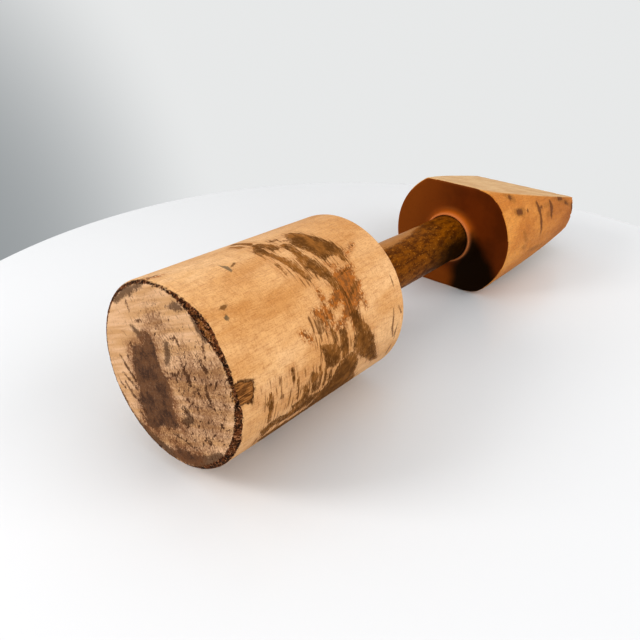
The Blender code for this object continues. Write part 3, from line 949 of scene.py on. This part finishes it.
def butt_side_material():
    """Oiled maple with umber and rust-coloured paint smears."""
    wood = Finish("butt_side")
    warm = wood.layer("warmth")
    pale = wood.blend(warm, colour(227, 192, 150), colour(209, 163, 110))
    mid = wood.blend(warm, colour(214, 172, 122), colour(192, 140, 83))
    base, height = long_grain(wood, pale, mid, colour(146, 90, 44))

    comb = wood.noise((1.1, 0.10, 0.10), 3.0, 0.65)
    fine = wood.noise((1.3, 0.8, 0.8), 3.0, 0.65)
    blotch = wood.noise(0.16, 3.0, 0.6)
    mottle = wood.noise(0.45)
    threads = wood.noise((1.6, 0.5, 0.5))
    rust = wood.layer("rust")
    rusty = wood.ragged(rust, (comb, 2.2), (fine, 3.4), edge=0.7)
    smudge = wood.times(wood.ease(rust, -2.5, 0.5, 0.0, 0.8), wood.ease(fine, 0.40, 0.58))
    rusty = wood.math("MAXIMUM", wood.times(rusty, 0.88), smudge)
    rust_colour = wood.blend(wood.ease(mottle, 0.42, 0.58), RUST_DARK, RUST_LIGHT)
    base = wood.blend(rusty, base, rust_colour)

    stain = wood.layer("stain")
    base = wood.over(base, stain, -4.0, 0.0, 0.22, colour(172, 112, 58))
    fringe = wood.times(wood.ease(stain, -2.8, 0.0, 0.0, 0.9), wood.ease(comb, 0.53, 0.61))
    umber = wood.blend(wood.ease(blotch, 0.40, 0.66), UMBER_DARK, UMBER_LIGHT)
    umber = wood.over(umber, comb, 0.42, 0.66, 0.35, UMBER_DARK)
    umber = wood.blend(wood.times(wood.layer("thick"), 0.3), umber, UMBER_DEEP)
    painted = wood.ragged(stain, (comb, 1.6), (fine, 1.1))
    cover = wood.ease(wood.scaled(stain, 0.035, threads), 0.36, 0.60, 0.45, 1.0)
    painted = wood.math("MAXIMUM", wood.times(painted, cover), fringe)
    base = wood.blend(painted, base, umber)

    scratch = wood.ragged(wood.layer("scratch"), (comb, 0.35), (fine, 0.5), edge=0.3)
    base = wood.lay(base, scratch, 0.8, UMBER_DARK)
    grey = wood.ragged(wood.layer("grey"), (fine, 0.6))
    base = wood.lay(base, grey, 0.8, colour(108, 92, 70))

    chip = wood.layer("chip")
    torn = wood.ragged(chip, (fine, 1.1), (comb, 0.6), edge=0.3)
    splinters = wood.noise((0.16, 1.6, 1.6))
    split = wood.blend(wood.ease(splinters, 0.38, 0.62), colour(92, 56, 26), colour(166, 116, 66))
    split = wood.blend(wood.ease(chip, 0.7, 0.1), split, colour(80, 48, 22))
    base = wood.blend(torn, base, split)
    height = wood.scaled(wood.times(torn, splinters), 3.0, height)

    base, height, rim = frayed_rim(wood, base, height, comb, fine)
    height = wood.scaled(wood.times(painted, fine), 0.8, height)
    dull = wood.math("MAXIMUM", wood.math("MAXIMUM", painted, rim), torn)
    roughness = wood.ease(wood.scaled(dull, 0.6, wood.times(fine, 0.4)), 0.1, 0.9, 0.45, 0.85)
    return wood.done(base, roughness, wood.bump(height, 0.19), specular=0.2, tint=WARM_GLOSS)


def butt_face_material():
    """End grain with ground-in dirt, paint smears and scratches."""
    wood = Finish("butt_face")
    rays = wood.noise((0.2, 0.07, 1.6), 3.0, 0.65, turn=-25)
    rings = wood.noise((0.2, 0.03, 0.30), 2.0, 0.5, turn=-25)
    pores = wood.noise((1.0, 2.6, 2.6), 2.0, 0.5)
    cloud = wood.noise((0.3, 0.14, 0.14), 4.0, 0.7)
    drag = wood.noise((0.3, 0.75, 0.16), 4.0, 0.7, turn=14)
    fine = wood.noise(1.0)
    nicks = wood.noise((0.6, 0.60, 0.30), 4.0, 0.7, turn=22)
    dirt = wood.layer("dirt")
    base = wood.blend(wood.ease(rings, 0.35, 0.65), colour(220, 182, 146), colour(200, 159, 116))
    base = wood.over(base, rays, 0.48, 0.72, 0.28, colour(160, 118, 82))
    base = wood.over(base, pores, 0.56, 0.72, 0.3, colour(124, 86, 56))
    patchy = wood.scaled(fine, 0.7, wood.times(cloud, 0.6))
    grime = wood.ease(wood.scaled(dirt, 0.28, patchy), 0.68, 0.98, 0.0, 0.72)
    base = wood.blend(grime, base, colour(126, 86, 57))
    specks = wood.ease(wood.scaled(dirt, 0.11, nicks), 0.65, 0.71, 0.0, 0.88)
    base = wood.blend(specks, base, colour(72, 42, 25))
    for turn in (40, 62):
        cuts = wood.noise((0.3, 0.14, 1.6), 1.0, 0.5, turn=turn)
        cuts = wood.ease(wood.scaled(dirt, 0.07, cuts), 0.70, 0.77, 0.0, 0.6)
        base = wood.blend(cuts, base, colour(92, 58, 38))

    grey = wood.ragged(wood.layer("grey_smear"), (fine, 2.0), (cloud, 2.6), edge=1.0)
    base = wood.lay(base, grey, 0.80, colour(88, 63, 46))
    smear = wood.layer("smear")
    smear_colour = wood.blend(wood.ease(cloud, 0.36, 0.62), colour(72, 50, 40), colour(104, 72, 50))
    smear_colour = wood.over(smear_colour, fine, 0.50, 0.66, 0.5, colour(140, 102, 74))
    halo = wood.ease(wood.scaled(cloud, 9.0, smear), -1.5, 5.0, 0.0, 0.85)
    halo = wood.times(halo, wood.ease(fine, 0.36, 0.56, 0.3, 1.0))
    base = wood.blend(halo, base, colour(122, 80, 52))
    smeared = wood.ragged(smear, (fine, 1.6), (cloud, 2.4), (drag, 2.0), edge=0.8)
    smeared = wood.times(smeared, wood.ease(cloud, 0.38, 0.62, 0.97, 0.80))
    base = wood.blend(smeared, base, smear_colour)
    marks = wood.ragged(wood.layer("face_mark"), (fine, 1.5), (nicks, 1.5), edge=0.6)
    base = wood.lay(base, marks, 0.85, colour(76, 45, 27))

    height = wood.math("ADD", rays, pores)
    height = wood.scaled(specks, -1.0, height)
    base, height, rim = frayed_rim(wood, base, height, rays, fine)
    roughness = wood.ease(fine, 0.2, 0.8, 0.6, 0.85)
    return wood.done(base, roughness, wood.bump(height, 0.12), specular=0.1, tint=WARM_GLOSS)


def peen_side_material():
    """Oiled maple on the peen, paler where the flats cut it."""
    wood = Finish("peen_side")
    reach = wood.layer("reach")
    pale = wood.blend(reach, colour(209, 151, 79), colour(177, 114, 50))
    mid = wood.blend(reach, colour(189, 126, 58), colour(153, 93, 35))
    side, height = long_grain(wood, pale, mid, colour(122, 66, 24))
    flat_grain = wood.noise((0.02, 0.7, 0.3), 5.0, 0.7)
    flat = wood.blend(wood.ease(flat_grain, 0.32, 0.72), colour(208, 176, 132), colour(188, 150, 104))
    flat_cloud = wood.noise((0.05, 0.06, 0.06), 2.0, 0.5)
    flat = wood.over(flat, flat_cloud, 0.4, 0.66, 0.5, colour(176, 132, 86))
    base = wood.blend(wood.layer("flat"), side, flat)

    comb = wood.noise((0.8, 0.15, 0.15), 3.0, 0.6)
    fine = wood.noise((1.0, 0.8, 0.8), 3.0, 0.65)
    faint = wood.ragged(wood.layer("faint"), (fine, 2.6), (comb, 1.4), edge=1.2)
    base = wood.lay(base, faint, 0.55, colour(140, 92, 36))
    mark = wood.ragged(wood.layer("mark"), (fine, 1.2), (comb, 1.0), edge=0.9)
    base = wood.lay(base, mark, 0.88, colour(96, 50, 12))
    roughness = wood.ease(fine, 0.2, 0.8, 0.42, 0.65)
    return wood.done(base, roughness, wood.bump(height, 0.10), specular=0.2, tint=WARM_GLOSS)


def peen_face_material():
    """Dark red-brown varnish over the inner face and the collar, with the handle's shadow painted dark low on
    its -Y side, painted light towards its +Y side and low down, a paler ring round the collar with a painted
    highlight, and a painted highlight on the collar's lip.
    """
    wood = Finish("peen_face")
    cloud = wood.noise((0.2, 0.05, 0.05), 3.0, 0.6)
    fine = wood.noise(0.8, 3.0, 0.6)
    base = wood.blend(wood.ease(cloud, 0.35, 0.7), colour(108, 49, 9), colour(88, 38, 6))
    # Painted light towards the inner face's +Y side and low down.
    base = wood.blend(wood.layer("left"), base, colour(128, 68, 17))
    base = wood.over(base, fine, 0.55, 0.75, 0.2, colour(76, 34, 8))
    # Paler varnish round the collar with a painted highlight on its upper -Y side.
    base = wood.lay(base, wood.layer("pale_ring_and_highlight"), 0.75, colour(204, 114, 28))
    # Painted shadow: the handle's shadow laid on the inner face as near-black.
    painted_shade = wood.ease(wood.scaled(cloud, 4.0, wood.layer("painted_shade")), 0.0, 8.0, 0.0, 0.97)
    base = wood.blend(painted_shade, base, PAINTED_SHADE_TONE)
    # Painted highlight along the collar's lip.
    base = wood.lay(base, wood.layer("lip"), 0.9, colour(214, 138, 84))
    return wood.done(base, 0.42, wood.bump(fine, 0.03), specular=0.1, tint=WARM_GLOSS)


def peen_tip_material():
    """Worn end grain on the blunt edge."""
    wood = Finish("peen_tip")
    rays = wood.noise((0.2, 1.2, 0.12), 3.0, 0.6)
    fine = wood.noise(1.0)
    base = wood.blend(wood.ease(rays, 0.35, 0.7), colour(176, 126, 80), colour(130, 84, 46))
    base = wood.over(base, fine, 0.5, 0.7, 0.5, colour(80, 50, 28))
    return wood.done(base, 0.7, wood.bump(wood.math("ADD", rays, fine), 0.12), specular=0.3)


def grip_material():
    """Old olive-brown varnish, mottled and flecked, with a paler painted sheen along its top and painted
    shade on its underside near the peen.
    """
    wood = Finish("grip")
    mottle = wood.noise((0.14, 0.34, 0.34), 4.0, 0.65)
    fibres = wood.noise((0.12, 1.5, 1.5), 3.0, 0.6)
    flecks = wood.noise((0.8, 1.3, 1.3), 2.0, 0.6)
    base = wood.blend(wood.ease(mottle, 0.36, 0.64), colour(128, 76, 5), colour(84, 43, 1))
    base = wood.over(base, fibres, 0.52, 0.8, 0.35, colour(62, 30, 2))
    base = wood.over(base, flecks, 0.38, 0.28, 0.6, colour(54, 24, 1))
    base = wood.over(base, flecks, 0.62, 0.70, 0.6, colour(190, 138, 58))
    # Painted sheen: a paler highlight laid along the grip's top.
    painted_sheen = wood.ragged(wood.layer("painted_sheen"), (mottle, 3.0), (flecks, 2.0), edge=1.5)
    base = wood.lay(base, painted_sheen, 0.7, colour(180, 130, 76))
    # Painted shade on the grip's underside near the peen.
    base = wood.lay(base, wood.layer("painted_shade"), 0.9, PAINTED_SHADE_TONE)
    roughness = wood.ease(mottle, 0.3, 0.7, 0.32, 0.46)
    height = wood.math("ADD", fibres, flecks)
    return wood.done(base, roughness, wood.bump(height, 0.06), specular=0.06, tint=WARM_GLOSS)


def raw_wood_material():
    """Bare hardwood inside the joints."""
    wood = Finish("raw_wood")
    place = wood.tree.nodes.new("ShaderNodeTexCoord").outputs["Object"]
    fibres = wood.noise((60.0, 1500.0, 1500.0), 4.0, 0.6, vector=place)
    base = wood.blend(wood.ease(fibres, 0.3, 0.7), colour(196, 156, 110), colour(160, 116, 72))
    return wood.done(base, 0.75, wood.bump(fibres, 0.08), specular=0.3)


# --- Stage ---

# Places and lengths on the stage are in metres, and the camera's turns in degrees.
TABLE_CENTRE = (-0.029, -0.008)
TABLE_RADIUS = 0.285
TABLE_THICKNESS = 0.022
TABLE_EDGE = 0.003
TABLE_COLUMNS = 256
# Lamps: the direction towards it, its distance and side in metres, and its power in watts.
LAMPS = {
    "window": ((-0.70, 0.48, 0.54), 1.0, 0.33, 4.6),
    "ceiling": ((-0.1, -0.1, 1.0), 1.6, 1.6, 3.5),
    "fill": ((0.28, -0.82, 0.46), 1.6, 1.2, 17.5),
}
# The room's dim corner: its direction, and the cosines between which the wall goes from pale to dim.
DIM_CORNER = (0.0, 0.93, -0.37)
DIM_FROM, DIM_TO = 0.78, 0.96
GAMMA = 0.8
CAMERA_PLACE = (-0.2868, -0.1786, 0.1962)
CAMERA_TURN = (59.46, -0.05, -50.44)


def make_table_top():
    """The round white table top that the mallet lies on."""
    inner = TABLE_RADIUS - TABLE_EDGE
    outline = [(inner, 0.0)]
    outline += [(inner + TABLE_EDGE * math.sin(a), -TABLE_EDGE + TABLE_EDGE * math.cos(a))
                for a in np.linspace(0, math.pi / 2, 6)[1:]]
    outline += [(TABLE_RADIUS, -TABLE_THICKNESS)]
    columns = TABLE_COLUMNS
    angles = np.linspace(0, 2 * math.pi, columns, endpoint=False)
    points, faces = [], []
    for radius, height in outline:
        points += [(TABLE_CENTRE[0] + radius * math.cos(a), TABLE_CENTRE[1] + radius * math.sin(a), height)
                   for a in angles]
    for row in range(len(outline) - 1):
        for column in range(columns):
            after = (column + 1) % columns
            faces.append((row * columns + column, (row + 1) * columns + column,
                          (row + 1) * columns + after, row * columns + after))
    faces.append(tuple(range(columns)))
    faces.append(tuple(reversed(range(len(points) - columns, len(points)))))
    mesh = bpy.data.meshes.new("table_top")
    mesh.from_pydata(points, [], faces)
    mesh.shade_smooth()
    mesh.set_sharp_from_angle(angle=math.radians(30))
    top = bpy.data.objects.new("table_top", mesh)
    bpy.context.scene.collection.objects.link(top)
    mesh.materials.append(Finish("white_lacquer").done(colour(211, 211, 212), 0.28, specular=0.3))


def add_lamp(name, towards, distance, size, power):
    """A square area lamp that lights the mallet from this direction."""
    data = bpy.data.lights.new(name, "AREA")
    data.shape = "SQUARE"
    data.size = size
    data.energy = power
    lamp = bpy.data.objects.new(name, data)
    lamp.location = Vector(towards).normalized() * distance
    lamp.rotation_euler = Vector(towards).to_track_quat("Z", "Y").to_euler()
    bpy.context.scene.collection.objects.link(lamp)


def light_scene():
    """The lamps, and a plain pale room with one dim corner."""
    for name, lamp in LAMPS.items():
        add_lamp(name, *lamp)
    world = bpy.data.worlds.new("pale_room")
    world.use_nodes = True
    nodes, links = world.node_tree.nodes, world.node_tree.links
    direction = nodes.new("ShaderNodeTexCoord").outputs["Generated"]
    towards = nodes.new("ShaderNodeVectorMath")
    towards.operation = "DOT_PRODUCT"
    towards.inputs[1].default_value = DIM_CORNER
    links.new(direction, towards.inputs[0])
    dim = nodes.new("ShaderNodeMapRange")
    dim.interpolation_type = "SMOOTHSTEP"
    dim.inputs["From Min"].default_value = DIM_FROM
    dim.inputs["From Max"].default_value = DIM_TO
    links.new(towards.outputs["Value"], dim.inputs["Value"])
    wall = nodes.new("ShaderNodeMix")
    wall.data_type = "RGBA"
    wall.inputs[6].default_value = colour(236, 237, 237)
    wall.inputs[7].default_value = colour(166, 170, 172)
    links.new(dim.outputs["Result"], wall.inputs[0])
    links.new(wall.outputs[2], nodes["Background"].inputs["Color"])
    bpy.context.scene.world = world
    bpy.context.scene.view_settings.view_transform = "Standard"
    bpy.context.scene.view_settings.gamma = GAMMA


def add_camera():
    """The camera at the photograph's viewing angle."""
    data = bpy.data.cameras.new("camera")
    data.lens = 36.0
    data.sensor_width = 36.0
    data.clip_start = 0.01
    camera = bpy.data.objects.new("camera", data)
    camera.location = CAMERA_PLACE
    camera.rotation_euler = [math.radians(angle) for angle in CAMERA_TURN]
    bpy.context.scene.collection.objects.link(camera)
    bpy.context.scene.camera = camera


# --- Assembly ---

for make, node, slot in (
    (make_butt, "butt_head", "maple_butt"),
    (make_handle, "handle", "varnished_grip"),
    (make_peen, "peen_head", "maple_peen"),
):
    piece = make()
    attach(piece, "root")
    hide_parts(node)

wedge_wood = raw_wood_material()
for node in ("butt_wedge", "peen_wedge"):
    for material_slot in frame["nodes"][node].material_slots:
        material_slot.material = wedge_wood

make_table_top()
light_scene()
add_camera()
